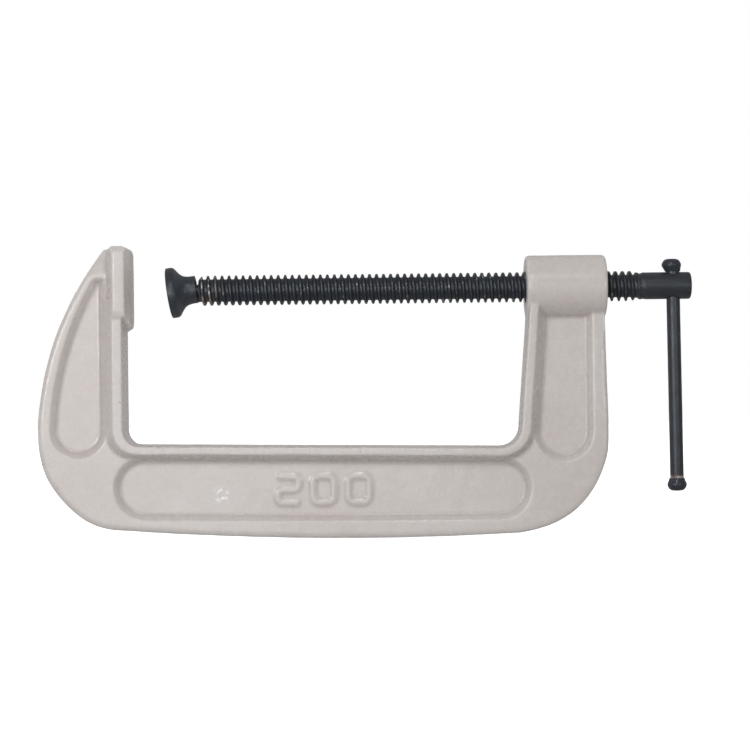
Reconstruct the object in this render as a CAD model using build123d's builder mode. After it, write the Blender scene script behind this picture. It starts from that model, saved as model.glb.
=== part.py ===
from build123d import *
import os
from math import cos, radians, sin, tan

# A 200 mm C clamp. Millimetres, at rest with the jaws part closed.
# Origin: centre of the anvil's clamping face, on the screw axis. +X runs along the
# screw towards the handle and +Z points away from the spine. The casting is
# symmetric about Y = 0, its parting plane.

os.makedirs("parts", exist_ok=True)

# --- Cast frame: section -----------------------------------------------------------
web_half = 6.3             # recess floor
rim_half = 10.0            # outer rim and the plain lands between the recesses
flange_half = 15.4         # inner flange
casting_draft = 4.5        # lean of the side walls, both ways from the parting plane
recess_slope = 42.0        # lean of the recess walls

# --- Cast frame: plan of the inner edge ----------------------------------------------
left_arm_x = -3.2
spine_left_z = -86.8
spine_right_z = -90.0
right_arm_low_x = 218.4
right_arm_lean = 0.077     # the right arm's inner edge leans out this much per mm
left_corner_radius = 8.0
right_corner_radius = 11.0
throat_top_z = 60.0        # the cut between the jaws runs on past the casting
arm_top_z = -5.0           # the right arm ends inside the boss

# --- Cast frame: inner flange ---------------------------------------------------------
flange_width_left = 6.9    # width of its front face on each stretch
flange_width_spine = 5.4
flange_width_right = 5.7
flange_spread_left = 12.5  # how much wider it would be at the parting plane
flange_spread_spine = 6.6
flange_spread_right = 8.2

# --- Cast frame: plan of the outer edge ------------------------------------------------
tip_corner = (-10.9, 24.7)
back_edge = [
    (-15.8, 23.9),
    (-26.4, 8.6),
    (-35.0, -6.5),
    (-46.2, -33.7),
    (-52.4, -61.0),
    (-54.0, -84.0),
    (-48.7, -106.6),
    (-34.3, -125.0),
    (-10.9, -135.9),
]
spine_low_point = (110.0, -141.7)
heel_edge = [
    (219.9, -139.9),
    (242.8, -132.8),
    (260.4, -117.1),
    (269.4, -97.2),
    (270.6, -76.0),
]
right_arm_outer_x = 268.7

# --- Cast frame: recesses, outlined at rim level --------------------------------------
left_recess_top = (-21.0, 7.4)
left_recess_middle = (-39.6, -36.5)
left_recess_low_z = -78.6
left_recess_outer_x = -46.4
left_recess_inner_x = -14.4
left_recess_top_radius = 4.5
spine_recess_left_x = 7.7
spine_recess_right_x = 208.0
spine_recess_top_z = (-93.4, -95.6)
spine_recess_bottom_z = (-130.0, -131.7)
spine_recess_bow = 0.5
right_recess_inner_x = 227.4
right_recess_outer_x = 261.3
right_recess_low_z = -82.1

# --- Tip of the left arm, which thins behind the anvil: (height, half thickness) ----------
tip_facets = [(8.5, 10.5), (15.0, 8.2), (27.0, 2.2)]

# --- Raised size number on the spine ---------------------------------------------------
number_centre = (108.0, -113.6)
digit_height = 15.0
digit_width = 12.0
digit_gap = 20.0
digit_stroke = 2.6
digit_raise = 0.8

# --- Anvil -------------------------------------------------------------------------------
anvil_half = 16.75
anvil_face_half = 9.9
anvil_foot_x = -12.9
anvil_back_x = -9.5
anvil_front_x = -2.7
anvil_top_z = 25.3
anvil_bevel_z = 22.1
anvil_skirt_z = -11.3      # the wide block's front faces end here
anvil_shoulder_z = -14.9
anvil_ledge_z = -15.6      # where it steps down to the flange
anvil_face_low_z = -21.0
anvil_bottom_z = -23.2
anvil_corner_radius = 5.0

# --- Boss, which the screw runs through ---------------------------------------------------
boss_radius = 18.0
boss_start_x = 224.0
boss_end_x = 269.6
boss_edge_radius = 2.2

# --- Screw ----------------------------------------------------------------------------------
thread_pitch = 4.0
thread_major_radius = 8.6
thread_root_radius = 6.4
thread_base_width = 2.6
thread_crest_width = 1.1
thread_start_x = 38.15
thread_end_x = 291.5
shank_radius = 7.7
screw_end_x = 318.6
screw_end_radius = 0.9
nose_radius = 6.2
nose_slope = 50.0          # the nose is turned to a cone across the first thread
bore_clearance = 0.08      # radial, from the thread's crest to the boss's bore

# --- Swivel ball and pad ----------------------------------------------------------------------
ball_centre_x = 30.5
ball_radius = 5.25
neck_radius = 3.5
pivot_pin_radius = 2.6
pivot_pin_length = 8.0
running_clearance = 0.05   # radial
pad_tilt = -8.0            # the pad hangs askew on its ball
pad_face_to_ball = 9.5
pad_radius = 14.35
pad_rim = 4.4
pad_edge_radius = 1.2
pad_length = 16.0
collar_radius = 7.8
collar_start = 11.0
socket_radius = 5.4
mouth_radius = 5.6
groove_radius = 6.15
groove_width = 1.4
ring_wire_radius = 0.6
ring_radius = 5.45
ring_from_ball = 3.3

# --- Sliding handle -------------------------------------------------------------------------------
handle_x = 308.3
handle_lean = -0.6         # the loose bar leans a little in its hole
bar_radius = 3.85
bar_hole_radius = 4.2
upper_cap_start = 8.0      # along the bar, from the screw's axis
lower_cap_start = -109.7
cap_radius = 5.6
cap_end_radius = 3.5
cap_length = 7.2
cap_bore_depth = 4.0


def save(piece, name):
    piece.label = name
    export_step(piece, f"parts/{name}.step")


# X of the right arm's inner edge, at height z.
def right_inner_x(z):
    return right_arm_low_x + right_arm_lean * (z - spine_right_z)


# Plan of the space between the jaws, grown outwards by a different amount on each side.
def throat_plan(left=0.0, spine=0.0, right=0.0, corner_growth=0.0, top=throat_top_z):
    left_x = left_arm_x - left
    left_low = (left_x, spine_left_z - spine)
    right_low = (right_arm_low_x + right, spine_right_z - spine)
    right_high = (right_inner_x(top) + right, top)
    with BuildSketch() as plan:
        with BuildLine():
            Polyline((left_x, top), left_low, right_low, right_high, close=True)
        make_face()
        fillet(plan.vertices().sort_by(Axis.Y)[1], left_corner_radius + corner_growth)
        fillet(plan.vertices().sort_by(Axis.Y)[0], right_corner_radius + corner_growth)
    return plan.sketch


# The casting is drawn lying on its side: plan in X and Y, depth in Z. It is stood up
# once it is whole, so plan Y becomes the clamp's Z.

# Plan of the C: tip, left arm, spine and right arm.
with BuildSketch() as c_plan:
    with BuildLine():
        back = Spline(back_edge, tangents=[(-0.6, -0.8), (1.0, -0.13)])
        ThreePointArc(back_edge[-1], spine_low_point, heel_edge[0])
        heel = Spline(heel_edge, tangents=[(1.0, 0.16), (0.0, 1.0)])
        Polyline(
            heel_edge[-1],
            (right_arm_outer_x, arm_top_z),
            (right_inner_x(arm_top_z) - 20.0, arm_top_z),
            (right_inner_x(arm_top_z) - 20.0, spine_left_z + 20.0),
            (left_arm_x + 20.0, spine_left_z + 20.0),
            (left_arm_x - 1.5, tip_corner[1] - 2.0),
            tip_corner,
            back_edge[0],
        )
    make_face()
    add(throat_plan(), mode=Mode.SUBTRACT)

# Recess outlines: left arm, spine, right arm.
with BuildSketch(Plane.XY.offset(rim_half)) as left_recess_plan:
    left_mid_x = (left_recess_outer_x + left_recess_inner_x) / 2
    left_end_radius = (left_recess_inner_x - left_recess_outer_x) / 2
    with BuildLine():
        ThreePointArc(left_recess_top, left_recess_middle, (left_recess_outer_x, left_recess_low_z))
        ThreePointArc(
            (left_recess_outer_x, left_recess_low_z),
            (left_mid_x, left_recess_low_z - left_end_radius),
            (left_recess_inner_x, left_recess_low_z),
        )
        Polyline(
            (left_recess_inner_x, left_recess_low_z),
            (left_recess_inner_x, left_recess_top[1]),
            left_recess_top,
        )
    make_face()
    top_corner = left_recess_plan.vertices().sort_by_distance(Vertex(*left_recess_top, 0))[0]
    fillet(top_corner, left_recess_top_radius)

with BuildSketch(Plane.XY.offset(rim_half)) as spine_recess_plan:
    left_end_radius_spine = (spine_recess_top_z[0] - spine_recess_bottom_z[0]) / 2
    right_end_radius_spine = (spine_recess_top_z[1] - spine_recess_bottom_z[1]) / 2
    with BuildLine():
        ThreePointArc(
            (spine_recess_left_x, spine_recess_top_z[0]),
            (
                spine_recess_left_x - left_end_radius_spine,
                spine_recess_top_z[0] - left_end_radius_spine,
            ),
            (spine_recess_left_x, spine_recess_bottom_z[0]),
        )
        ThreePointArc(
            (spine_recess_left_x, spine_recess_bottom_z[0]),
            (number_centre[0], sum(spine_recess_bottom_z) / 2 - spine_recess_bow),
            (spine_recess_right_x, spine_recess_bottom_z[1]),
        )
        ThreePointArc(
            (spine_recess_right_x, spine_recess_bottom_z[1]),
            (
                spine_recess_right_x + right_end_radius_spine,
                spine_recess_top_z[1] - right_end_radius_spine,
            ),
            (spine_recess_right_x, spine_recess_top_z[1]),
        )
        Line(
            (spine_recess_right_x, spine_recess_top_z[1]),
            (spine_recess_left_x, spine_recess_top_z[0]),
        )
    make_face()

with BuildSketch(Plane.XY.offset(rim_half)) as right_recess_plan:
    right_mid_x = (right_recess_inner_x + right_recess_outer_x) / 2
    right_end_radius = (right_recess_outer_x - right_recess_inner_x) / 2
    inner_top_x = right_recess_inner_x + right_arm_lean * (arm_top_z - right_recess_low_z)
    with BuildLine():
        ThreePointArc(
            (right_recess_inner_x, right_recess_low_z),
            (right_mid_x, right_recess_low_z - right_end_radius),
            (right_recess_outer_x, right_recess_low_z),
        )
        Polyline(
            (right_recess_outer_x, right_recess_low_z),
            (right_recess_outer_x, arm_top_z),
            (inner_top_x, arm_top_z),
            (right_recess_inner_x, right_recess_low_z),
        )
    make_face()

with BuildPart() as recesses:
    for plan in (left_recess_plan, spine_recess_plan, right_recess_plan):
        add(plan.sketch)
    extrude(amount=rim_half - web_half, taper=recess_slope)
    mirror(about=Plane.XY.offset(rim_half), mode=Mode.REPLACE)

# Inner flange: a band round the inner edge, wider at its foot than at its face.
with BuildPart() as flange:
    with BuildSketch():
        add(
            throat_plan(
                flange_width_left + flange_spread_left,
                flange_width_spine + flange_spread_spine,
                flange_width_right + flange_spread_right,
                flange_width_spine + flange_spread_spine,
            )
        )
    with BuildSketch(Plane.XY.offset(flange_half)):
        add(
            throat_plan(
                flange_width_left, flange_width_spine, flange_width_right, flange_width_spine
            )
        )
    loft(ruled=True)
    with BuildSketch():
        add(c_plan.sketch)
    extrude(amount=flange_half, taper=casting_draft, mode=Mode.INTERSECT)
    split(bisect_by=Plane.XZ.offset(-arm_top_z), keep=Keep.TOP)


# Digits of the size number, as strokes about their own centre.
with BuildSketch() as digit_two:
    half_w, half_h = digit_width / 2, digit_height / 2
    with BuildLine():
        FilletPolyline(
            (-half_w, half_h),
            (half_w, half_h),
            (half_w, 0.0),
            (-half_w, 0.0),
            (-half_w, -half_h),
            (half_w, -half_h),
            radius=digit_stroke,
        )
    trace(line_width=digit_stroke)

with BuildSketch() as digit_zero:
    RectangleRounded(digit_width + digit_stroke, digit_height + digit_stroke, 1.8 * digit_stroke)
    inner_width, inner_height = digit_width - digit_stroke, digit_height - digit_stroke
    RectangleRounded(inner_width, inner_height, 0.8 * digit_stroke, mode=Mode.SUBTRACT)

with BuildPart() as size_number:
    for place, digit in enumerate((digit_two, digit_zero, digit_zero)):
        digit_x = number_centre[0] + (place - 1) * digit_gap
        with BuildSketch(Plane((digit_x, number_centre[1], web_half))):
            add(digit.sketch)
        extrude(amount=digit_raise)

# What is cut from the front of the left arm's tip.
with BuildPart() as tip_cut:
    with BuildSketch(Plane.YZ.offset(back_edge[2][0])):
        with BuildLine():
            Polyline(
                *tip_facets,
                (tip_facets[-1][0], flange_half + 1.0),
                (tip_facets[0][0], flange_half + 1.0),
                close=True,
            )
        make_face()
    extrude(amount=left_arm_x - back_edge[2][0])

# Front half of the casting, mirrored in the parting plane and stood up.
with BuildPart() as casting:
    with BuildSketch():
        add(c_plan.sketch)
    extrude(amount=rim_half, taper=casting_draft)
    add(recesses.part, mode=Mode.SUBTRACT)
    add(flange.part)
    add(tip_cut.part, mode=Mode.SUBTRACT)
    mirror(about=Plane.XY)
    add(size_number.part)
    add(size_number.part.rotate(Axis(number_centre, (0, 1)), 180))
upright_casting = casting.part.rotate(Axis.X, 90)

# Anvil: a wide block with chamfered sides, whose face stands proud of the arm.
with BuildPart() as anvil:
    with BuildSketch(Plane.XZ):
        with BuildLine():
            Polyline(
                (-anvil_corner_radius, anvil_top_z),
                (anvil_back_x - 0.6, anvil_top_z),
                (anvil_foot_x, anvil_top_z - 2.2),
                (anvil_foot_x, anvil_bottom_z),
                (left_arm_x, anvil_bottom_z),
                (0.0, anvil_face_low_z),
                (0.0, anvil_top_z - anvil_corner_radius),
            )
            RadiusArc(
                (0.0, anvil_top_z - anvil_corner_radius),
                (-anvil_corner_radius, anvil_top_z),
                -anvil_corner_radius,
            )
        make_face()
    extrude(amount=anvil_half, both=True)
    with BuildSketch(Plane.XY.offset(anvil_bottom_z)):
        with BuildLine():
            half = Polyline(
                (0.0, 0.0),
                (0.0, anvil_face_half),
                (anvil_front_x, anvil_half),
                (anvil_back_x, anvil_half),
                (anvil_foot_x, rim_half),
                (anvil_foot_x, 0.0),
            )
            mirror(half, about=Plane.XZ)
        make_face()
    extrude(amount=anvil_top_z - anvil_bottom_z, mode=Mode.INTERSECT)
    with BuildSketch(Plane.YZ):
        with BuildLine():
            half = Polyline(
                (0.0, anvil_top_z),
                (anvil_half - 4.0, anvil_top_z),
                (anvil_half, anvil_bevel_z),
                (anvil_half, anvil_skirt_z),
                (anvil_half - 0.7, anvil_shoulder_z),
                (flange_half - 1.5, anvil_ledge_z),
                (4.0, anvil_bottom_z),
                (0.0, anvil_bottom_z),
            )
            mirror(half, about=Plane.YZ)
        make_face()
    extrude(amount=anvil_foot_x, mode=Mode.INTERSECT)

with BuildPart() as boss:
    with BuildSketch(Plane.YZ.offset(boss_start_x)):
        Circle(boss_radius)
    extrude(amount=boss_end_x - boss_start_x)
    fillet(boss.edges().filter_by(GeomType.CIRCLE), boss_edge_radius)

with BuildPart() as frame:
    add(upright_casting)
    add(anvil.part)
    add(boss.part)
    with BuildSketch(Plane.YZ.offset(boss_start_x - 5.0)):
        Circle(thread_major_radius + bore_clearance)
    extrude(amount=boss_end_x - boss_start_x + 10.0, mode=Mode.SUBTRACT)
save(frame.part, "frame")

# Axis of the loose handle bar, leaning a little in its hole. Its own Z is the bar's axis.
bar_direction = (sin(radians(handle_lean)), 0, cos(radians(handle_lean)))
bar_plane = Plane(origin=(handle_x, 0, 0), z_dir=bar_direction)

# Screw: thread, turned nose, plain end with a cross hole, and a bored nose for the pin.
# The thread is drawn as rings of its trapezoidal section, one for each turn. Half of the
# screw's long section is drawn above its axis and revolved.
turn_count = int((thread_end_x - thread_start_x) / thread_pitch)
nose_length = (thread_major_radius - nose_radius) / tan(radians(nose_slope))
with BuildPart() as screw:
    with BuildSketch(Plane.XZ):
        with Locations((thread_start_x, 0)):
            Rectangle(
                thread_end_x - thread_start_x, thread_root_radius, align=(Align.MIN, Align.MIN)
            )
        with Locations((thread_end_x, 0)):
            Rectangle(screw_end_x - thread_end_x, shank_radius, align=(Align.MIN, Align.MIN))
        first_ring_x = thread_start_x + nose_length - thread_crest_width / 2
        ring_places = [(first_ring_x + thread_pitch * turn, 0) for turn in range(turn_count)]
        with Locations(ring_places):
            Polygon(
                (-thread_base_width / 2, thread_root_radius - 0.2),
                (-thread_crest_width / 2, thread_major_radius),
                (thread_crest_width / 2, thread_major_radius),
                (thread_base_width / 2, thread_root_radius - 0.2),
                align=None,
            )
        Polygon(
            (thread_start_x, nose_radius),
            (thread_start_x, thread_major_radius),
            (thread_start_x + nose_length, thread_major_radius),
            align=None,
            mode=Mode.SUBTRACT,
        )
        with Locations((thread_start_x, 0)):
            Rectangle(
                pivot_pin_length + running_clearance,
                pivot_pin_radius + running_clearance,
                align=(Align.MIN, Align.MIN),
                mode=Mode.SUBTRACT,
            )
    revolve(axis=Axis.X)
    fillet(screw.faces().sort_by(Axis.X)[-1].edges(), screw_end_radius)
    with BuildSketch(bar_plane.offset(-2 * shank_radius)):
        Circle(bar_hole_radius)
    extrude(amount=4 * shank_radius, mode=Mode.SUBTRACT)
save(screw.part, "screw")

# Ball end: ball, neck and the pin that turns in the screw's nose.
with BuildPart() as swivel_ball:
    with Locations((ball_centre_x, 0, 0)):
        Sphere(ball_radius)
    with BuildSketch(Plane.YZ.offset(ball_centre_x)):
        Circle(neck_radius)
    extrude(amount=thread_start_x - ball_centre_x)
    with BuildSketch(Plane.YZ.offset(thread_start_x)):
        Circle(pivot_pin_radius)
    extrude(amount=pivot_pin_length)
save(swivel_ball.part, "swivel_ball")

# The pad's own axis runs from its face through the ball's centre.
pad_axis = Vector(cos(radians(pad_tilt)), 0, -sin(radians(pad_tilt)))
pad_origin = Vector(ball_centre_x, 0, 0) - pad_axis * pad_face_to_ball
pad_face_plane = Plane(origin=pad_origin, x_dir=(0, 1, 0), z_dir=pad_axis)
ring_plane = pad_face_plane.offset(pad_face_to_ball + ring_from_ball)

# Pad: flared disc and collar round a ball socket, with a groove for the ring. Its
# section is drawn as (distance from its axis, distance behind its face).
pad_section_normal = Vector(0, 1, 0).cross(pad_axis)
pad_section_plane = Plane(origin=pad_origin, x_dir=(0, 1, 0), z_dir=pad_section_normal)
flare_start = (pad_radius - 2.2, pad_rim + 1.3)
with BuildPart() as swivel_pad:
    with BuildSketch(pad_section_plane):
        with BuildLine():
            FilletPolyline(
                (0.0, 0.0),
                (pad_radius, 0.0),
                (pad_radius, pad_rim),
                flare_start,
                radius=pad_edge_radius,
            )
            Bezier(
                flare_start,
                (collar_radius + 2.0, pad_rim + 2.9),
                (collar_radius + 0.3, collar_start - 2.6),
                (collar_radius, collar_start),
            )
            Polyline(
                (collar_radius, collar_start),
                (collar_radius, pad_length),
                (0.0, pad_length),
                (0.0, 0.0),
            )
        make_face()
    revolve(axis=Axis(pad_origin, pad_axis))
    with Locations((ball_centre_x, 0, 0)):
        Sphere(socket_radius, mode=Mode.SUBTRACT)
    with BuildSketch(pad_face_plane.offset(pad_face_to_ball)):
        Circle(mouth_radius)
    extrude(amount=pad_length - pad_face_to_ball, mode=Mode.SUBTRACT)
    with BuildSketch(ring_plane.offset(-groove_width / 2)):
        Circle(groove_radius)
    extrude(amount=groove_width, mode=Mode.SUBTRACT)
    chamfer(swivel_pad.edges().sort_by(Axis(pad_origin, pad_axis))[-2:], 0.3)
save(swivel_pad.part, "swivel_pad")

with BuildPart() as pad_snap_ring:
    with Locations(ring_plane):
        Torus(ring_radius, ring_wire_radius)
save(pad_snap_ring.part, "pad_snap_ring")

# Handle: a loose bar, kept in the screw by a rounded cap pressed on each end.
with BuildPart() as handle_bar:
    with BuildSketch(bar_plane.offset(lower_cap_start - cap_bore_depth)):
        Circle(bar_radius)
    extrude(amount=upper_cap_start - lower_cap_start + 2 * cap_bore_depth)
save(handle_bar.part, "handle_bar")


# Barrel-shaped cap, bored from the side that faces the bar. Its own Z points away from
# the bar, and its section is drawn as (distance from the bar's axis, distance outwards).
def handle_cap(cap_plane):
    section_normal = Vector(0, 1, 0).cross(cap_plane.z_dir)
    section_plane = Plane(origin=cap_plane.origin, x_dir=(0, 1, 0), z_dir=section_normal)
    with BuildPart() as cap:
        with BuildSketch(section_plane):
            with BuildLine():
                ThreePointArc(
                    (bar_radius, 0.0),
                    (cap_radius, cap_length / 2),
                    (cap_end_radius, cap_length),
                )
                Polyline(
                    (cap_end_radius, cap_length), (0.0, cap_length), (0.0, 0.0), (bar_radius, 0.0)
                )
            make_face()
        revolve(axis=Axis(cap_plane.origin, cap_plane.z_dir))
        with BuildSketch(cap_plane):
            Circle(bar_radius)
        extrude(amount=cap_bore_depth, mode=Mode.SUBTRACT)
    return cap.part


upper_cap_plane = bar_plane.offset(upper_cap_start)
lower_cap_origin = bar_plane.offset(lower_cap_start).origin
lower_cap_plane = Plane(origin=lower_cap_origin, z_dir=-bar_plane.z_dir)
save(handle_cap(upper_cap_plane), "handle_cap_upper")
save(handle_cap(lower_cap_plane), "handle_cap_lower")
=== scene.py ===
"""Looks of the 200 mm C clamp. Metres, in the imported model's frame.

+X runs along the screw towards the handle, +Z points away from the spine, and the
camera looks along +Y.
"""

import math

import bmesh
import bpy
import numpy as np
from mathutils import Matrix, Vector, kdtree, noise


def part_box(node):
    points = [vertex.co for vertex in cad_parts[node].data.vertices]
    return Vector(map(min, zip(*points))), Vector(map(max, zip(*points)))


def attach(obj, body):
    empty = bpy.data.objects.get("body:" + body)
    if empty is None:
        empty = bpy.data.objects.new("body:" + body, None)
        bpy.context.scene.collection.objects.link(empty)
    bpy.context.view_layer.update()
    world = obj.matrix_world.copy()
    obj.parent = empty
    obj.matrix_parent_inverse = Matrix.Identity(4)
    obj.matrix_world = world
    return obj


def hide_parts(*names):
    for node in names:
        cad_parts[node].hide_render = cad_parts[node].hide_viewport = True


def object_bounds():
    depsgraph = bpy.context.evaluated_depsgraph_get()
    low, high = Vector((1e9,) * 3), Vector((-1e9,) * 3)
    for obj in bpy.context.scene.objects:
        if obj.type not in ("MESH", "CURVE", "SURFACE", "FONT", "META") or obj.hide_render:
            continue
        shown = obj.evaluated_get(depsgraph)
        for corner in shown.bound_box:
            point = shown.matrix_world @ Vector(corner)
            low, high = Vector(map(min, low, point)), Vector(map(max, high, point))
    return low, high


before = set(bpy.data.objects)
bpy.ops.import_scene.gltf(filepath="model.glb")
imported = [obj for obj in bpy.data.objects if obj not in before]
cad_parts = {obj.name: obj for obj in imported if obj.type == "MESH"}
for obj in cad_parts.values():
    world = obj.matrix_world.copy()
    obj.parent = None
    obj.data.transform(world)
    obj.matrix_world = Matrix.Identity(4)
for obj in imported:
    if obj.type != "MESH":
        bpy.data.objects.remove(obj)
cad_low, cad_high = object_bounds()

MM = 0.001
AROUND = 96                # points round a turned piece

# --- Casting ---
CAST_VOXEL = 0.7 * MM
CAST_SOFTEN_ROUNDS = 3
CAST_TRIANGLES = 190000
OUTER_EDGE_ROUNDS = 30
OUTER_EDGE_WIDTH = 4.5 * MM
THROAT_MIDDLE = (108 * MM, -35 * MM)
BORE_RADIUS = 8.95 * MM

# --- Screw ---
THREAD_PITCH = 4.0 * MM
THREAD_MAJOR = 8.55 * MM
THREAD_ROOT = 6.4 * MM
THREAD_CREST = 0.8 * MM
THREAD_BASE = 2.7 * MM
THREAD_PHASE = 2.4 * MM    # where the crest crosses the +Y side, from a multiple of the pitch
THREAD_START = 38.15 * MM
NOSE_RADIUS = 6.2 * MM
NOSE_SLOPE = math.radians(50)
PIN_BORE_RADIUS = 2.7 * MM
PIN_BORE_DEPTH = 8.05 * MM
SHANK_RADIUS = 7.68 * MM
FADE_START = 283.5 * MM    # the thread gets shallower from here
FADE_END = 294.0 * MM
SCREW_AROUND = 72
THREAD_STEPS = MM * np.array([
    -2.0, -1.4, -1.15, -0.9, -0.65, -0.4, -0.15, 0.15, 0.4, 0.65, 0.9, 1.15, 1.4,
])

# --- Pad and ball ---
BALL_CENTRE = 30.5 * MM
PAD_TILT = math.radians(-8)
PAD_FACE_TO_BALL = 9.5 * MM
PAD_RADIUS = 14.35 * MM
PAD_RIM = 4.4 * MM
PAD_LENGTH = 16.0 * MM
COLLAR_RADIUS = 7.8 * MM
COLLAR_START = 11.0 * MM
SOCKET_RADIUS = 5.4 * MM
MOUTH_RADIUS = 5.6 * MM
GROOVE_RADIUS = 6.15 * MM
RING_RADIUS = 5.45 * MM
RING_WIRE = 0.6 * MM
WIRE_AROUND = 16
RING_FROM_BALL = 3.3 * MM
BALL_RADIUS = 5.25 * MM
NECK_RADIUS = 3.5 * MM
PIN_RADIUS = 2.6 * MM
PIN_LENGTH = 8.0 * MM
PAD_AXIS = Vector((math.cos(PAD_TILT), 0, -math.sin(PAD_TILT)))
PAD_ORIGIN = Vector((BALL_CENTRE, 0, 0)) - PAD_AXIS * PAD_FACE_TO_BALL

# --- Handle ---
HANDLE_X = 308.3 * MM
HANDLE_LEAN = math.radians(-0.6)
BAR_RADIUS = 3.85 * MM
BAR_HOLE_RADIUS = 4.2 * MM
UPPER_CAP_START = 8.0 * MM
LOWER_CAP_START = -109.7 * MM
CAP_LENGTH = 7.2 * MM
CAP_RADIUS = 5.6 * MM
CAP_END_RADIUS = 3.5 * MM
CAP_BORE_DEPTH = 4.0 * MM
BAR_ORIGIN = Vector((HANDLE_X, 0, 0))
BAR_AXIS = Vector((math.sin(HANDLE_LEAN), 0, math.cos(HANDLE_LEAN)))

# --- Camera, light and floor ---
CAMERA_LENS = 96
CAMERA_DISTANCE = 1140 * MM
CAMERA_RIGHT = 5.7 * MM    # from the middle of the clamp's box
CAMERA_UP = 9.2 * MM
CAMERA_ROLL = 0.64         # degrees
FRONT_FILL = 0.28          # the world's strength on the camera's side
BACK_FILL = 1.25           # and behind the clamp
FILL_TURN = (-0.4, 0.6)    # Y of the directions between which it changes
GLOSSY_FILL = 0.25         # share of the world that glossy reflections see
FLOOR_COLOUR = (0.55, 0.55, 0.55, 1)
FLOOR_GLOW = 0.95
FLOOR_HALF = 2.5


# =================================== mesh helpers ===================================

def add_mesh_piece(name, mesh, body, node, sharp_angle):
    """A smooth-shaded mesh piece that rides on a body and stands for a CAD node."""
    mesh.polygons.foreach_set("use_smooth", [True] * len(mesh.polygons))
    mesh.set_sharp_from_angle(angle=math.radians(sharp_angle))
    piece = bpy.data.objects.new(name, mesh)
    bpy.context.scene.collection.objects.link(piece)
    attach(piece, body)
    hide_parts(node)
    return piece


def rounded(corners, steps=5):
    """Outline from corners (along, radius, rounding), each rounding a smooth curve."""
    points = []
    for here, (along, radius, rounding) in enumerate(corners):
        corner = Vector((along, radius))
        if rounding == 0 or here in (0, len(corners) - 1):
            points.append(corner)
            continue
        before = Vector(corners[here - 1][:2]) - corner
        after = Vector(corners[here + 1][:2]) - corner
        start = corner + before.normalized() * min(rounding, before.length * 0.49)
        end = corner + after.normalized() * min(rounding, after.length * 0.49)
        for step in range(steps + 1):
            t = step / steps
            points.append(start * (1 - t) ** 2 + corner * 2 * t * (1 - t) + end * t * t)
    return points


def turned(outline, origin, axis, around=AROUND, closed=False):
    """Points and faces of an outline of (along, radius) turned about an axis."""
    axis = Vector(axis).normalized()
    side = axis.cross(Vector((0, 1, 0))).normalized()
    other = axis.cross(side)
    points, rings = [], []
    for along, radius in outline:
        centre = Vector(origin) + axis * along
        if radius < 1e-7:
            rings.append([len(points)] * around)
            points.append(centre)
            continue
        rings.append(list(range(len(points), len(points) + around)))
        for step in range(around):
            angle = 2 * math.pi * step / around
            points.append(centre + (side * math.cos(angle) + other * math.sin(angle)) * radius)
    pairs = list(zip(rings, rings[1:] + rings[:1] if closed else rings[1:]))
    faces = []
    for ring, following in pairs:
        for step in range(around):
            nxt = (step + 1) % around
            corners = [ring[step], ring[nxt], following[nxt], following[step]]
            corners = list(dict.fromkeys(corners))
            if len(corners) > 2:
                faces.append(corners)
    return points, faces


def neighbour_means(mesh, points, rounds, share):
    """Points moved by a share of the way to their neighbours' mean, a few times over."""
    count = len(points)
    edges = np.zeros(len(mesh.edges) * 2, np.int32)
    mesh.edges.foreach_get("vertices", edges)
    a, b = edges[0::2], edges[1::2]
    valence = np.bincount(edges, minlength=count)
    for _ in range(rounds):
        means = np.empty_like(points)
        for axis in range(3):
            column = points[:, axis]
            total = np.bincount(a, column[b], count) + np.bincount(b, column[a], count)
            means[:, axis] = total / valence
        points = points + (means - points) * share
    return points


def smooth_step(value, low, high):
    t = np.clip((value - low) / (high - low), 0, 1)
    return t * t * (3 - 2 * t)


def points_of(mesh):
    points = np.zeros(len(mesh.vertices) * 3)
    mesh.vertices.foreach_get("co", points)
    return points.reshape(-1, 3)


def apply_modifiers(piece):
    graph = bpy.context.evaluated_depsgraph_get()
    mesh = bpy.data.meshes.new_from_object(piece.evaluated_get(graph))
    piece.modifiers.clear()
    piece.data = mesh
    return mesh


# ===================================== materials =====================================

def srgb(red, green, blue):
    """A display colour of 0 to 255 as the linear colour that the shader takes."""
    def linear(value):
        value /= 255
        return value / 12.92 if value < 0.04045 else ((value + 0.055) / 1.055) ** 2.4
    return (linear(red), linear(green), linear(blue), 1.0)


PAINT = srgb(203, 197, 193)
PAINT_WARM = srgb(199, 191, 187)
PAINT_PALE = srgb(208, 204, 200)
# painted shade: a darker tone laid into concave corners
PAINTED_CORNER_SHADE = srgb(168, 157, 151)
PAINT_EDGE = srgb(220, 216, 212)
# near-white scuff colour, partly scratched paint and partly a painted highlight for the scratches'
# glints
SCUFF_GLINT = srgb(240, 238, 236)
SCUFF_GLINT_PLACE = (50 * MM, -7 * MM, -116 * MM)
CHIP_PLACE = (222 * MM, -8 * MM, -126 * MM)
RUST = srgb(96, 62, 44)
BARE_BORE = srgb(70, 68, 66)
BLACK = srgb(50, 53, 58)
BLACK_BLUE = srgb(52, 58, 66)
BLACK_BROWN = srgb(58, 54, 49)
WORN = srgb(205, 196, 190)
STEEL = srgb(150, 145, 138)


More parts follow.
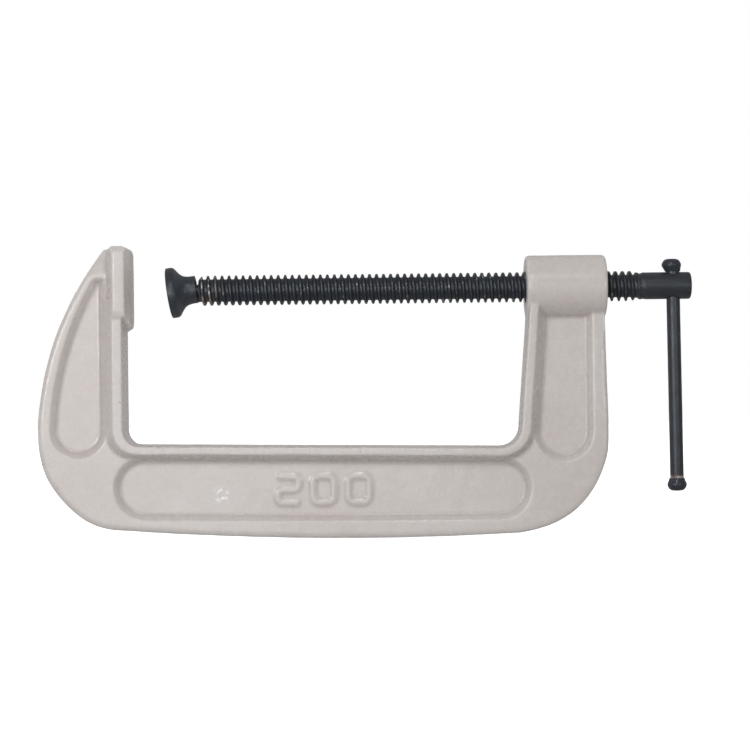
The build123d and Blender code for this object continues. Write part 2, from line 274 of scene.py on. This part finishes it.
class Look:
    """One material and the few node patterns that these materials are made of."""

    def __init__(self, name):
        self.material = bpy.data.materials.new(name)
        self.material.use_nodes = True
        self.nodes = self.material.node_tree.nodes
        self.links = self.material.node_tree.links
        self.shader = self.nodes["Principled BSDF"]
        self.place = self.nodes.new("ShaderNodeTexCoord").outputs["Object"]

    def put(self, socket, value):
        if isinstance(value, bpy.types.NodeSocket):
            self.links.new(value, socket)
        else:
            socket.default_value = value

    def set(self, name, value):
        self.put(self.shader.inputs[name], value)

    def moved(self, offset=(0, 0, 0), stretch=(1, 1, 1)):
        mapping = self.nodes.new("ShaderNodeMapping")
        self.put(mapping.inputs["Vector"], self.place)
        mapping.inputs["Location"].default_value = offset
        mapping.inputs["Scale"].default_value = stretch
        return mapping.outputs["Vector"]

    def noise(self, size, detail=3.0, offset=(0, 0, 0), stretch=(1, 1, 1)):
        """Soft noise with features about this many metres across."""
        texture = self.nodes.new("ShaderNodeTexNoise")
        self.put(texture.inputs["Vector"], self.moved(offset, stretch))
        texture.inputs["Scale"].default_value = 1 / size
        texture.inputs["Detail"].default_value = detail
        return texture.outputs["Fac"]

    def band(self, value, low, high, out_low=0.0, out_high=1.0):
        band = self.nodes.new("ShaderNodeMapRange")
        band.interpolation_type = "SMOOTHSTEP"
        self.put(band.inputs["Value"], value)
        for name, number in (
            ("From Min", low), ("From Max", high), ("To Min", out_low), ("To Max", out_high)
        ):
            band.inputs[name].default_value = number
        return band.outputs["Result"]

    def maths(self, operation, first, second=0.0):
        maths = self.nodes.new("ShaderNodeMath")
        maths.operation = operation
        self.put(maths.inputs[0], first)
        self.put(maths.inputs[1], second)
        return maths.outputs[0]

    def times(self, first, second):
        return self.maths("MULTIPLY", first, second)

    def mix(self, share, first, second, blend="MIX"):
        mix = self.nodes.new("ShaderNodeMix")
        mix.data_type = "RGBA"
        mix.blend_type = blend
        self.put(mix.inputs[0], share)
        self.put(mix.inputs[6], first)
        self.put(mix.inputs[7], second)
        return mix.outputs[2]

    def attribute(self, name):
        attribute = self.nodes.new("ShaderNodeAttribute")
        attribute.attribute_name = name
        return attribute.outputs["Fac"]

    def axis(self, letter):
        split = self.nodes.new("ShaderNodeSeparateXYZ")
        self.put(split.inputs[0], self.place)
        return split.outputs[letter]

    def near(self, centre, inner, outer):
        """1 within inner of a point, falling to 0 at outer."""
        length = self.nodes.new("ShaderNodeVectorMath")
        length.operation = "DISTANCE"
        self.put(length.inputs[0], self.place)
        length.inputs[1].default_value = centre
        return self.band(length.outputs["Value"], inner, outer, 1.0, 0.0)

    def bump(self, height, depth, below=None):
        bump = self.nodes.new("ShaderNodeBump")
        bump.inputs["Distance"].default_value = depth
        self.put(bump.inputs["Height"], height)
        if below is not None:
            self.put(bump.inputs["Normal"], below)
        return bump.outputs["Normal"]


def paint_look():
    """Warm grey enamel on a sand casting, thin on edges and scuffed here and there; painted shade
    darkens concave corners and the scuffs are painted near white, partly as glints.
    """
    look = Look("grey_cast_enamel")
    edge = look.attribute("edge")
    mottle = look.noise(9 * MM, 4)
    drift = look.noise(70 * MM, 2)
    grain = look.noise(1.1 * MM, 3)
    colour = look.mix(look.band(drift, 0.35, 0.65), PAINT, PAINT_WARM)
    colour = look.mix(look.band(mottle, 0.35, 0.75, 0.0, 0.35), colour, PAINT_PALE)
    # Painted shade: concave places, where the edge measure is negative, get the darker corner tone.
    corner = look.band(edge, -0.05, -0.45, 0.0, 0.35)
    colour = look.mix(corner, colour, PAINTED_CORNER_SHADE)
    crest = look.times(look.band(edge, 0.35, 0.8), look.band(grain, 0.4, 0.7, 0.1, 0.5))
    colour = look.mix(crest, colour, PAINT_EDGE)
    # A few scuff marks painted near white: partly real scratches, partly painted glints off them.
    scuff_glint_zone = look.near(SCUFF_GLINT_PLACE, 2 * MM, 6 * MM)
    scuff_glint = look.band(look.noise(2.6 * MM, 3, offset=(3, 1, 2)), 0.50, 0.60)
    scuff_glint = look.times(scuff_glint, scuff_glint_zone)
    colour = look.mix(scuff_glint, colour, SCUFF_GLINT)
    chip_noise = look.band(look.noise(1.3 * MM, 3, offset=(5, 0, 0)), 0.40, 0.60)
    chip = look.times(look.near(CHIP_PLACE, 0.6 * MM, 1.6 * MM), chip_noise)
    speck = look.times(
        look.band(look.noise(2.0 * MM, 2, offset=(9, 4, 2)), 0.73, 0.76),
        look.band(look.noise(23 * MM, 2, offset=(1, 7, 2)), 0.45, 0.6),
    )
    rust = look.maths("MAXIMUM", chip, look.times(speck, 0.7))
    colour = look.mix(rust, colour, RUST)
    across = look.maths("POWER", look.axis("Y"), 2)
    up = look.maths("POWER", look.axis("Z"), 2)
    from_axis = look.maths("SQRT", look.maths("ADD", across, up))
    bare = look.times(
        look.band(from_axis, 9.1 * MM, 9.5 * MM, 1.0, 0.0),
        look.band(look.axis("X"), 0.20, 0.21),
    )
    colour = look.mix(bare, colour, BARE_BORE)
    look.set("Base Color", colour)
    rough = look.band(look.noise(4 * MM, 4, offset=(2, 2, 2)), 0.3, 0.7, 0.22, 0.32)
    rough = look.maths("ADD", rough, look.times(rust, 0.4))
    look.set("Roughness", rough)
    look.shader.inputs["Specular IOR Level"].default_value = 0.5
    peel = look.bump(look.noise(2.6 * MM, 2, offset=(7, 1, 3)), 0.10 * MM)
    peel = look.bump(grain, 0.02 * MM, peel)
    peel = look.bump(look.maths("MULTIPLY", rust, -1.0), 0.06 * MM, peel)
    look.set("Normal", peel)
    return look.material


def black_steel_look(name, grain_axis="X", grain_size=0.35 * MM, worn=None, rust=None):
    """Oiled black oxide with faint tool marks. worn and rust give masks for bare places."""
    look = Look(name)
    drift = look.noise(11 * MM, 4)
    fine = look.noise(1.0 * MM, 3, offset=(1, 2, 3))
    colour = look.mix(look.band(drift, 0.3, 0.7), BLACK, BLACK_BLUE)
    colour = look.mix(look.band(fine, 0.5, 0.8, 0.0, 0.5), colour, BLACK_BROWN)
    speck = look.band(look.noise(0.9 * MM, 2, offset=(4, 4, 1)), 0.72, 0.76, 0.0, 0.8)
    colour = look.mix(speck, colour, STEEL)
    rough = look.band(look.noise(3 * MM, 4, offset=(2, 5, 1)), 0.3, 0.7, 0.32, 0.43)
    metal = look.band(fine, 0.3, 0.7, 0.0, 0.12)
    if rust:
        mask = rust(look)
        colour = look.mix(mask, colour, RUST)
        rough = look.maths("ADD", rough, look.times(mask, 0.3))
    if worn:
        mask = worn(look)
        colour = look.mix(mask, colour, WORN)
        metal = look.maths("MAXIMUM", metal, mask)
    look.set("Base Color", colour)
    look.set("Roughness", rough)
    look.set("Metallic", metal)
    stretch = {"X": (1, 0.05, 0.05), "Z": (0.05, 0.05, 1)}[grain_axis]
    marks = look.noise(grain_size, 2, stretch=stretch)
    normal = look.bump(marks, 0.02 * MM)
    normal = look.bump(look.noise(0.7 * MM, 3, offset=(3, 3, 3)), 0.03 * MM, normal)
    look.set("Normal", normal)
    return look.material


# ====================================== casting ======================================

def outer_edge_share(points, normals):
    """1 near the outer edge of the C, falling to 0 further in, for the edge's rounding."""
    flat = np.stack([points[:, 0] - THROAT_MIDDLE[0], points[:, 2] - THROAT_MIDDLE[1]], 1)
    outward = (flat * normals[:, [0, 2]]).sum(1) > 0
    x, z = points[:, 0], points[:, 2]
    clear_of_anvil = (x < -16 * MM) | (z < -30 * MM)
    clear_of_boss = (x < 215 * MM) | (z < -22 * MM)
    wall = outward & (np.abs(normals[:, 1]) < 0.3) & clear_of_anvil & clear_of_boss
    wall &= np.abs(points[:, 1]) > 5 * MM
    tree = kdtree.KDTree(int(wall.sum()))
    for number, point in enumerate(points[wall]):
        tree.insert(point, number)
    tree.balance()
    front = np.abs(points[:, 1]) > 4 * MM
    distance = np.full(len(points), 1.0)
    distance[front] = [tree.find(point)[2] for point in points[front]]
    return 1 - smooth_step(distance, 1.2 * MM, OUTER_EDGE_WIDTH)


def normals_of(mesh):
    normals = np.zeros(len(mesh.vertices) * 3)
    mesh.vertices.foreach_get("normal", normals)
    return normals.reshape(-1, 3)


def make_casting(material):
    """The CAD casting remeshed with soft cast edges and a slightly uneven skin."""
    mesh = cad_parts["frame"].data.copy()
    piece = bpy.data.objects.new("casting_work", mesh)
    bpy.context.scene.collection.objects.link(piece)
    weld = piece.modifiers.new("weld", "WELD")
    weld.merge_threshold = 0.001 * MM
    remesh = piece.modifiers.new("remesh", "REMESH")
    remesh.mode = "VOXEL"
    remesh.voxel_size = CAST_VOXEL * 1
    mesh = apply_modifiers(piece)
    crisp = points_of(mesh)
    outer = outer_edge_share(crisp, normals_of(mesh))
    soft = neighbour_means(mesh, crisp, CAST_SOFTEN_ROUNDS, 0.5)
    soft = neighbour_means(mesh, soft, OUTER_EDGE_ROUNDS, 0.5 * outer[:, None])
    wide = neighbour_means(mesh, soft, 14, 0.6)
    mesh.vertices.foreach_set("co", soft.ravel())
    mesh.update()
    normals = normals_of(mesh)
    edge = ((soft - wide) * normals).sum(1) / (0.5 * MM)
    attribute = mesh.attributes.new("edge", "FLOAT", "POINT")
    attribute.data.foreach_set("value", edge.astype(np.float32))
    uneven = np.array([
        0.10 * noise.noise(Vector(p) / (11 * MM)) + 0.02 * noise.noise(Vector(p) / (4 * MM)) - 0.05
        for p in soft
    ])
    skin = soft + normals * (uneven * MM)[:, None]
    reach = np.hypot(skin[:, 1], skin[:, 2])
    in_bore = (skin[:, 0] > 0.2) & (reach < BORE_RADIUS)
    scale = np.where(in_bore, BORE_RADIUS / np.maximum(reach, 1e-6), 1.0)
    skin[:, 1] *= scale
    skin[:, 2] *= scale
    mesh.vertices.foreach_set("co", skin.ravel())
    mesh.update()
    triangles = sum(len(p.vertices) - 2 for p in mesh.polygons)
    if triangles > CAST_TRIANGLES:
        decimate = piece.modifiers.new("decimate", "DECIMATE")
        decimate.ratio = CAST_TRIANGLES / triangles
        mesh = apply_modifiers(piece)
    bpy.data.objects.remove(piece)
    mesh.materials.clear()
    mesh.materials.append(material)
    return add_mesh_piece("frame_casting", mesh, "frame", "frame", 60)


# ======================================= screw =======================================

def welded(name, points, faces):
    """Mesh with coinciding points merged, its faces turned outwards."""
    mesh = bpy.data.meshes.new(name)
    mesh.from_pydata(points, [], faces)
    work = bmesh.new()
    work.from_mesh(mesh)
    bmesh.ops.remove_doubles(work, verts=work.verts, dist=0.002 * MM)
    bmesh.ops.dissolve_degenerate(work, edges=work.edges, dist=0.002 * MM)
    bmesh.ops.recalc_face_normals(work, faces=work.faces)
    work.to_mesh(mesh)
    work.free()
    return mesh


def thread_surface():
    """Places and radii of a right-hand thread, as a grid sheared by one pitch per turn."""
    first = int(THREAD_START / THREAD_PITCH) - 2
    last = int(FADE_END / THREAD_PITCH) + 2
    rows = np.concatenate([THREAD_STEPS + THREAD_PHASE + THREAD_PITCH * k for k in range(first, last)])
    phase = np.tile(THREAD_STEPS, last - first)[:, None]
    lead = THREAD_PITCH * np.arange(SCREW_AROUND) / SCREW_AROUND
    along = rows[:, None] + lead[None, :]
    flank = smooth_step(np.abs(phase), THREAD_CREST / 2, THREAD_BASE / 2)
    radius = THREAD_MAJOR - (THREAD_MAJOR - THREAD_ROOT) * flank + 0 * along
    crest_drop = smooth_step(along, FADE_START, FADE_START + 4.5 * MM) * (THREAD_MAJOR - SHANK_RADIUS)
    radius -= crest_drop * (radius - THREAD_ROOT) / (THREAD_MAJOR - THREAD_ROOT)
    radius += (SHANK_RADIUS - radius) * smooth_step(along, FADE_START, FADE_END)
    cone = NOSE_RADIUS + np.maximum(along - THREAD_START, 0) * math.tan(NOSE_SLOPE)
    return np.clip(along, THREAD_START, FADE_END), np.minimum(radius, cone)


def make_screw(material):
    """Thread, turned nose with the pin's bore, and the plain end with its cross hole."""
    around = np.arange(SCREW_AROUND)
    angle = 2 * math.pi * around / SCREW_AROUND
    same = np.ones(SCREW_AROUND)
    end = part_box("screw")[1].x
    deep = THREAD_START + PIN_BORE_DEPTH
    nose = [(deep, 0.0), (deep, PIN_BORE_RADIUS), (THREAD_START, PIN_BORE_RADIUS)]
    places, radii = thread_surface()
    shank = rounded([
        (FADE_END + 1 * MM, SHANK_RADIUS, 0),
        (end - 0.6 * MM, SHANK_RADIUS, 1.3 * MM),
        (end, 3.5 * MM, 2.0 * MM),
        (end, 0.0, 0),
    ])
    all_places = [same * x for x, _ in nose] + list(places) + [same * x for x, _ in shank]
    all_radii = [same * r for _, r in nose] + list(radii) + [same * r for _, r in shank]
    points = []
    for place, radius in zip(all_places, all_radii):
        columns = np.stack([place, radius * np.cos(angle), radius * np.sin(angle)], 1)
        points += [tuple(p) for p in columns]
    faces = []
    thread_first, thread_last = len(nose), len(nose) + len(places) - 1
    for row in range(len(all_places) - 1):
        for step in range(SCREW_AROUND):
            nxt = (step + 1) % SCREW_AROUND
            # Across the seam the thread has moved on by one pitch, which is one set of rows.
            shift = len(THREAD_STEPS) if nxt == 0 and thread_first <= row < thread_last else 0
            if row + 1 + shift > thread_last and shift:
                continue
            here, beyond = row * SCREW_AROUND, (row + 1) * SCREW_AROUND
            jump = shift * SCREW_AROUND
            faces.append((here + step, here + nxt + jump, beyond + nxt + jump, beyond + step))
    work = bpy.data.objects.new("screw_work", welded("screw_work", points, faces))
    hole_outline = [(-12 * MM, 0), (-12 * MM, BAR_HOLE_RADIUS), (12 * MM, BAR_HOLE_RADIUS), (12 * MM, 0)]
    hole_points, hole_faces = turned(hole_outline, BAR_ORIGIN, BAR_AXIS, 64)
    hole = bpy.data.objects.new("hole_work", welded("hole_work", hole_points, hole_faces))
    for item in (work, hole):
        bpy.context.scene.collection.objects.link(item)
    cut = work.modifiers.new("cross_hole", "BOOLEAN")
    cut.operation = "DIFFERENCE"
    cut.object = hole
    mesh = apply_modifiers(work)
    bpy.data.objects.remove(work)
    bpy.data.objects.remove(hole)
    mesh.materials.clear()
    mesh.materials.append(material)
    return add_mesh_piece("screw_threaded", mesh, "screw", "screw", 50)


# ================================== turned pieces ==================================

def make_turned(name, outline, origin, axis, material, owner, closed=False, change=None):
    """A turned piece. owner is the (body, CAD node) that it rides on and stands for."""
    points, faces = turned(outline, origin, axis, closed=closed)
    if change:
        points = [change(Vector(p)) for p in points]
    mesh = welded(name, points, faces)
    mesh.materials.append(material)
    return add_mesh_piece(name, mesh, owner[0], owner[1], 42)


def hollow_sphere(radius, start, end, steps):
    """Outline of a ball or socket between two distances along the axis from its centre."""
    first, last = math.acos(start / radius), math.acos(end / radius)
    angles = [first + (last - first) * step / steps for step in range(steps + 1)]
    return [(radius * math.cos(a), radius * math.sin(a)) for a in angles]


def make_pad(material):
    """Flared disc and collar, with the ball's socket and the snap ring's groove inside."""
    outside = rounded([
        (0.0, 0.0, 0),
        (0.0, PAD_RADIUS, 1.0 * MM),
        (PAD_RIM, PAD_RADIUS, 1.6 * MM),
        (PAD_RIM + 1.9 * MM, PAD_RADIUS - 2.9 * MM, 1.8 * MM),
        (PAD_RIM + 4.3 * MM, COLLAR_RADIUS + 0.9 * MM, 3.2 * MM),
        (COLLAR_START + 1.0 * MM, COLLAR_RADIUS, 3.0 * MM),
        (PAD_LENGTH, COLLAR_RADIUS, 0.5 * MM),
        (PAD_LENGTH, MOUTH_RADIUS + 0.3 * MM, 0.2 * MM),
        (PAD_LENGTH - 0.3 * MM, MOUTH_RADIUS, 0),
    ], 6)
    groove = PAD_FACE_TO_BALL + RING_FROM_BALL
    inside = [
        (groove + 0.7 * MM, MOUTH_RADIUS),
        (groove + 0.7 * MM, GROOVE_RADIUS),
        (groove - 0.7 * MM, GROOVE_RADIUS),
        (groove - 0.7 * MM, MOUTH_RADIUS),
        (PAD_FACE_TO_BALL, MOUTH_RADIUS),
    ]
    socket = [
        (PAD_FACE_TO_BALL + along, radius)
        for along, radius in hollow_sphere(SOCKET_RADIUS, 0.0, -SOCKET_RADIUS, 14)
    ]
    return make_turned(
        "pad_flared", outside + inside + socket, PAD_ORIGIN, PAD_AXIS, material,
        ("pad", "swivel_pad"),
    )


def make_ball(material):
    """Ball, neck and the pin that turns in the screw's nose."""
    joint = math.sqrt(BALL_RADIUS ** 2 - NECK_RADIUS ** 2)
    length = THREAD_START - BALL_CENTRE
    outline = hollow_sphere(BALL_RADIUS, -BALL_RADIUS, joint, 28) + rounded([
        (joint, NECK_RADIUS, 0),
        (length, NECK_RADIUS, 0),
        (length, PIN_RADIUS, 0),
        (length + PIN_LENGTH, PIN_RADIUS, 0.6 * MM),
        (length + PIN_LENGTH, 0.0, 0),
    ])
    return make_turned(
        "ball_end", outline, (BALL_CENTRE, 0, 0), (1, 0, 0), material,
        ("feed", "swivel_ball"),
    )


def make_snap_ring(material):
    """Round wire in the groove inside the collar."""
    outline = []
    for step in range(WIRE_AROUND):
        angle = 2 * math.pi * step / WIRE_AROUND
        outline.append((RING_WIRE * math.cos(angle), RING_RADIUS + RING_WIRE * math.sin(angle)))
    origin = PAD_ORIGIN + PAD_AXIS * (PAD_FACE_TO_BALL + RING_FROM_BALL)
    return make_turned(
        "snap_ring_wire", outline, origin, PAD_AXIS, material,
        ("pad_cradle", "pad_snap_ring"), closed=True,
    )


def make_bar(material):
    """Round bar, very slightly wavy, with a small chamfer inside each cap."""
    low, high = LOWER_CAP_START - CAP_BORE_DEPTH, UPPER_CAP_START + CAP_BORE_DEPTH
    count = 40
    stations = [
        (low + (high - low) * step / count, BAR_RADIUS - 0.02 * MM * (1 + math.sin(step * 1.7)))
        for step in range(1, count)
    ]
    outline = [(low, 0.0), (low, BAR_RADIUS - 0.1 * MM)] + stations
    outline += [(high, BAR_RADIUS - 0.1 * MM), (high, 0.0)]
    return make_turned(
        "bar_sliding", outline, BAR_ORIGIN, BAR_AXIS, material,
        ("handle", "handle_bar"),
    )


def make_cap(name, start, outward, off_centre, node, material):
    """Barrel-shaped cap, headed over by hand, so a little off centre and uneven."""
    neck = BAR_RADIUS + 0.45 * MM
    outline = rounded([
        (CAP_BORE_DEPTH, 0.0, 0),
        (CAP_BORE_DEPTH, BAR_RADIUS, 0),
        (0.0, BAR_RADIUS, 0),
        (0.0, neck, 0.4 * MM),
        (0.22 * CAP_LENGTH, CAP_RADIUS - 0.7 * MM, 1.4 * MM),
        (0.52 * CAP_LENGTH, CAP_RADIUS + 0.25 * MM, 2.2 * MM),
        (0.86 * CAP_LENGTH, CAP_RADIUS - 0.9 * MM, 2.2 * MM),
        (CAP_LENGTH, CAP_END_RADIUS - 0.4 * MM, 1.6 * MM),
        (CAP_LENGTH, 0.0, 0),
    ], 6)
    origin = BAR_ORIGIN + BAR_AXIS * start

    def dented(point):
        height = (point - origin).dot(BAR_AXIS) * outward
        away = point - origin - BAR_AXIS * height * outward
        if away.length < BAR_RADIUS + 0.1 * MM and height < CAP_BORE_DEPTH + 0.1 * MM:
            return point
        share = min(max(height / CAP_LENGTH, 0), 1)
        uneven = 0.14 * noise.noise(point / (3 * MM)) - 0.1
        away = away.normalized() if away.length > 1e-6 else away
        shift = Vector((off_centre * min(1, 2.5 * share), 0, 0))
        return point + shift + away * uneven * MM * min(1, 4 * share)

    return make_turned(
        name, outline, origin, BAR_AXIS * outward, material,
        ("handle", node), change=dented,
    )


# ============================== stage, light and camera ==============================

def make_floor():
    """White ground at the clamp's lowest point, which lights and mirrors nothing."""
    corners = [(-1, -1), (1, -1), (1, 1), (-1, 1)]
    points = [(FLOOR_HALF * x, FLOOR_HALF * y, cad_low.z) for x, y in corners]
    mesh = bpy.data.meshes.new("floor")
    mesh.from_pydata(points, [], [(0, 1, 2, 3)])
    floor = bpy.data.objects.new("floor", mesh)
    bpy.context.scene.collection.objects.link(floor)
    floor.visible_diffuse = False
    floor.visible_glossy = False
    look = Look("pale_floor")
    look.set("Base Color", FLOOR_COLOUR)
    look.set("Roughness", 0.9)
    look.set("Emission Color", (1, 1, 1, 1))
    look.set("Emission Strength", FLOOR_GLOW)
    mesh.materials.append(look.material)


def softbox(name, across, up, distance, size, power):
    """Round light aimed at the clamp, from degrees right of and above the camera's side."""
    light = bpy.data.lights.new(name, "AREA")
    light.shape = "DISK"
    light.size = size
    light.energy = power
    lamp = bpy.data.objects.new(name, light)
    a, e = math.radians(across), math.radians(up)
    away = Vector((math.sin(a) * math.cos(e), -math.cos(a) * math.cos(e), math.sin(e)))
    lamp.location = middle + away * distance
    lamp.rotation_euler = away.to_track_quat("Z", "Y").to_euler()
    bpy.context.scene.collection.objects.link(lamp)


def make_world():
    """Bright behind the clamp, as white paper is, dim on the camera's side, white to see."""
    world = bpy.data.worlds.new("studio")
    bpy.context.scene.world = world
    world.use_nodes = True
    nodes, links = world.node_tree.nodes, world.node_tree.links
    around = nodes["Background"]
    around.inputs["Color"].default_value = (1, 1, 1, 1)
    direction = nodes.new("ShaderNodeTexCoord").outputs["Generated"]
    split = nodes.new("ShaderNodeSeparateXYZ")
    links.new(direction, split.inputs[0])
    spread = nodes.new("ShaderNodeMapRange")
    for name, number in (
        ("From Min", FILL_TURN[0]), ("From Max", FILL_TURN[1]),
        ("To Min", FRONT_FILL), ("To Max", BACK_FILL),
    ):
        spread.inputs[name].default_value = number
    links.new(split.outputs["Y"], spread.inputs["Value"])
    path = nodes.new("ShaderNodeLightPath")
    softer = nodes.new("ShaderNodeMapRange")
    softer.inputs["To Min"].default_value = 1.0
    softer.inputs["To Max"].default_value = GLOSSY_FILL
    links.new(path.outputs["Is Glossy Ray"], softer.inputs["Value"])
    strength = nodes.new("ShaderNodeMath")
    strength.operation = "MULTIPLY"
    links.new(spread.outputs["Result"], strength.inputs[0])
    links.new(softer.outputs["Result"], strength.inputs[1])
    links.new(strength.outputs[0], around.inputs["Strength"])
    behind = nodes.new("ShaderNodeBackground")
    behind.inputs["Color"].default_value = (1, 1, 1, 1)
    behind.inputs["Strength"].default_value = 1.0
    mix = nodes.new("ShaderNodeMixShader")
    links.new(path.outputs["Is Camera Ray"], mix.inputs[0])
    links.new(around.outputs[0], mix.inputs[1])
    links.new(behind.outputs[0], mix.inputs[2])
    links.new(mix.outputs[0], nodes["World Output"].inputs["Surface"])


def make_camera():
    camera_data = bpy.data.cameras.new("camera")
    camera_data.sensor_width = 36
    camera_data.lens = CAMERA_LENS
    camera_data.clip_start = 0.01
    camera = bpy.data.objects.new("camera", camera_data)
    roll = math.radians(CAMERA_ROLL)
    right = Vector((math.cos(roll), 0, -math.sin(roll)))
    up = Vector((math.sin(roll), 0, math.cos(roll)))
    turn = Matrix((right, up, Vector((0, -1, 0)))).transposed().to_4x4()
    place = Vector((middle.x + CAMERA_RIGHT, -CAMERA_DISTANCE, middle.z + CAMERA_UP))
    camera.matrix_world = Matrix.Translation(place) @ turn
    bpy.context.scene.collection.objects.link(camera)
    bpy.context.scene.camera = camera


# ====================================== assembly ======================================

def nose_wear(look):
    """Bright rubbed crests on the first three turns, and a few spots further on."""
    across = look.maths("POWER", look.axis("Y"), 2)
    up = look.maths("POWER", look.axis("Z"), 2)
    reach = look.maths("SQRT", look.maths("ADD", across, up))
    crest = look.band(reach, 8.0 * MM, 8.5 * MM)
    first = look.band(look.axis("X"), 44 * MM, 50 * MM, 1.0, 0.0)
    patches = look.band(look.noise(3.2 * MM, 3, offset=(2, 0, 5)), 0.42, 0.62)
    later = look.times(look.band(look.noise(4.5 * MM, 3, offset=(8, 3, 1)), 0.62, 0.72), 0.45)
    return look.times(crest, look.maths("MAXIMUM", look.times(first, patches), later))


def nose_rust(look):
    first = look.band(look.axis("X"), 44 * MM, 52 * MM, 0.55, 0.0)
    below = look.band(look.axis("Z"), -1 * MM, -5 * MM)
    return look.times(look.times(first, below), look.band(look.noise(2.5 * MM, 3), 0.4, 0.6))


def cap_ring_rust(look):
    """Rusty band on the bar just above its lower cap."""
    low = look.band(look.axis("Z"), LOWER_CAP_START - 0.3 * MM, LOWER_CAP_START)
    high = look.band(look.axis("Z"), LOWER_CAP_START + 1.0 * MM, LOWER_CAP_START + 3.2 * MM, 1.0, 0.0)
    patch = look.band(look.noise(3 * MM, 3, offset=(1, 1, 6)), 0.35, 0.6)
    return look.times(look.times(low, high), patch)


def cap_ring_wear(look):
    """Bare metal where the screw knocks against the cap."""
    low = look.band(look.axis("Z"), LOWER_CAP_START - 0.3 * MM, LOWER_CAP_START)
    high = look.band(look.axis("Z"), LOWER_CAP_START + 1.0 * MM, LOWER_CAP_START + 1.7 * MM, 1.0, 0.0)
    patch = look.band(look.noise(4 * MM, 2, offset=(6, 2, 3)), 0.42, 0.56, 0.15, 0.8)
    return look.times(look.times(low, high), patch)


middle = (cad_low + cad_high) / 2
paint = paint_look()
make_casting(paint)
make_screw(black_steel_look("black_steel_screw", "X", 0.3 * MM, nose_wear, nose_rust))
make_pad(black_steel_look("black_steel_pad", "X", 0.5 * MM))
make_ball(black_steel_look("black_steel_ball"))
make_snap_ring(black_steel_look("spring_wire"))
make_bar(black_steel_look("black_steel_bar", "X", 0.25 * MM, cap_ring_wear, cap_ring_rust))
cap_look = black_steel_look("black_steel_caps", "Z", 0.6 * MM)
make_cap("cap_upper", UPPER_CAP_START, 1, -0.65 * MM, "handle_cap_upper", cap_look)
make_cap("cap_lower", LOWER_CAP_START, -1, 0.0, "handle_cap_lower", cap_look)

make_floor()
make_world()
softbox("front", -12, 4, 1.1, 0.8, 3.8)
softbox("key_left", -33, 6, 1.0, 0.22, 1.9)
softbox("key_right", 34, 6, 1.4, 0.3, 1.9)
softbox("key_top", 0, 38, 1.2, 0.22, 2.2)
make_camera()
bpy.context.scene.view_settings.view_transform = "Standard"
